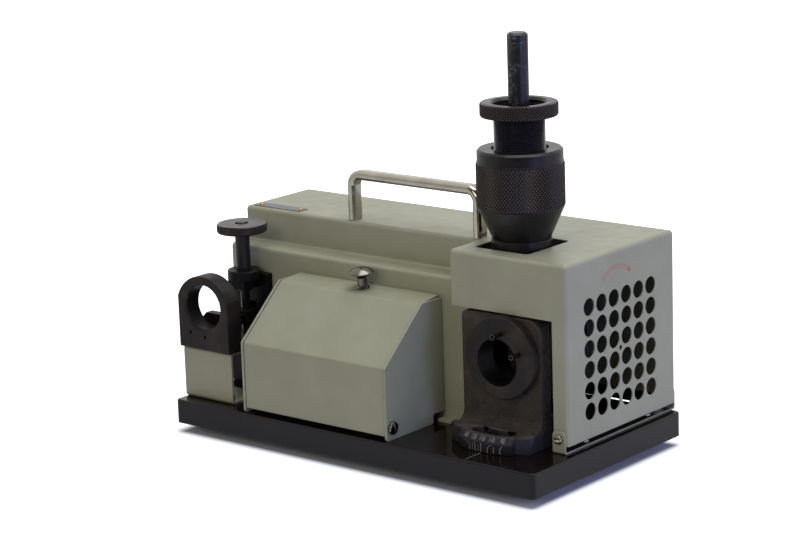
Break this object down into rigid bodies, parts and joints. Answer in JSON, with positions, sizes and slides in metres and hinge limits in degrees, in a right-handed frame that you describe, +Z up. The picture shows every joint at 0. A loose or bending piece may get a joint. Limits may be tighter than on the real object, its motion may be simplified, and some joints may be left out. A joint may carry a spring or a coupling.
{
  "type": "drill bit grinder",
  "caption": "Bench grinder that sharpens twist drills: motor casing, perforated wheel cover, swivelling socket with a scale, setting station, collet store and a collet chuck.",
  "frame": {"origin": "on the bench, under the middle of the whole machine", "axes": "+X along the base to the wheel cover, +Y to the back, +Z up"},
  "size_m": [0.4524, 0.25, 0.4182],
  "materials": {
    "base_paint": "gloss black paint",
    "olive_paint": "satin grey-olive paint",
    "rubber": "matt",
    "steel": "zinc plated",
    "nickel": "nickel plated",
    "black_oxide": "black oxide, oiled",
    "black_casting": "black oxide on a rough casting",
    "drill_steel": "steam tempered",
    "abrasive": "steel body with a bonded grit layer",
    "motor_iron": "laminated iron",
    "motor_aluminium": "as cast",
    "capacitor_can": "matt",
    "black_plastic": "satin"
  },
  "bodies": {
    "frame": {"base_plate": "base_paint", "rubber_feet": "rubber", "foot_screws": "steel", "base_screws": "steel", "motor_casing": "olive_paint", "end_panel": "olive_paint", "switch_housing": "black_plastic", "power_inlet": "black_plastic", "carry_handle": "nickel", "handle_screws": "steel", "motor_plate": "black_oxide", "motor_stator": "motor_iron", "front_bell": "motor_aluminium", "rear_bell": "motor_aluminium", "motor_bearings": "steel", "motor_cradle": "motor_aluminium", "run_capacitor": "capacitor_can", "wheel_cover": "olive_paint", "cover_tray": "olive_paint", "cover_screws": "steel", "storage_box": "olive_paint", "lid_pins": "steel", "collet_rack": "black_plastic", "collets": "black_oxide", "setting_bracket": "olive_paint", "setting_ring": "black_oxide", "ring_screws": "steel", "setting_column": "black_oxide", "column_screws": "steel", "setting_bush": "black_oxide", "swivel_pin": "black_oxide", "clamp_washer": "steel", "clamp_screw": "black_oxide", "port_bracket": "black_oxide", "port_screws": "steel", "port_sleeve": "black_oxide"},
    "wheel": {"rotor_shaft": "motor_iron", "wheel_hub": "steel", "grinding_wheel": "abrasive", "wheel_nut": "steel"},
    "lid": {"storage_lid": "olive_paint", "lid_knob": "nickel", "lid_knob_nut": "steel"},
    "swivel": {"swivel_socket": "black_casting", "socket_sleeve": "black_oxide", "socket_pins": "steel"},
    "spindle": {"setting_spindle": "black_oxide", "setting_knob": "black_oxide", "knob_screw": "steel"},
    "slide": {"setting_slide": "black_oxide"},
    "chuck": {"chuck_body": "black_oxide", "chuck_collar": "black_oxide", "chuck_collet": "black_oxide", "drill_bit": "drill_steel"},
    "draw_tube": {"draw_tube": "black_oxide"},
    "draw_ring": {"draw_ring": "black_oxide"},
    "rocker": {"switch_rocker": "black_plastic"}
  },
  "joints": [
    {"name": "wheel_spin", "type": "hinge", "parent": "frame", "child": "wheel", "pos_m": [0, 0.028, 0.1185], "axis": [1, 0, 0], "continuous": true},
    {"name": "lid_hinge", "type": "hinge", "parent": "frame", "child": "lid", "pos_m": [-0.043, -0.112, 0.0465], "axis": [1, 0, 0], "range_deg": [0, 100]},
    {"name": "socket_swivel", "type": "hinge", "parent": "frame", "child": "swivel", "pos_m": [0.14555, -0.01461, 0.0345], "axis": [0, 0, 1], "range_deg": [-14, 11]},
    {"name": "setting_turn", "type": "hinge", "parent": "frame", "child": "spindle", "pos_m": [-0.19225, -0.0505, 0.15], "axis": [0, 0, 1], "range_deg": [-1440, 1440]},
    {"name": "setting_lift", "type": "slide", "parent": "frame", "child": "slide", "axis": [0, 0, 1], "range_m": [-0.006, 0.006]},
    {"name": "chuck_lift", "type": "slide", "parent": "frame", "child": "chuck", "axis": [0, 0, 1], "range_m": [0, 0.065]},
    {"name": "draw_travel", "type": "slide", "parent": "chuck", "child": "draw_tube", "axis": [0, 0, 1], "range_m": [0, 0.003]},
    {"name": "draw_ring_turn", "type": "hinge", "parent": "draw_tube", "child": "draw_ring", "pos_m": [0.12925, -0.005, 0.345], "axis": [0, 0, 1], "range_deg": [0, 720]},
    {"name": "switch_rock", "type": "hinge", "parent": "frame", "child": "rocker", "pos_m": [-0.21875, 0.007, 0.1495], "axis": [0, 1, 0], "range_deg": [0, 16]}
  ],
  "couplings": [
    {"joint": "setting_lift", "follows": "setting_turn", "m_per_rad": -0.00023873},
    {"joint": "draw_travel", "follows": "draw_ring_turn", "m_per_rad": 0.00023873}
  ]
}
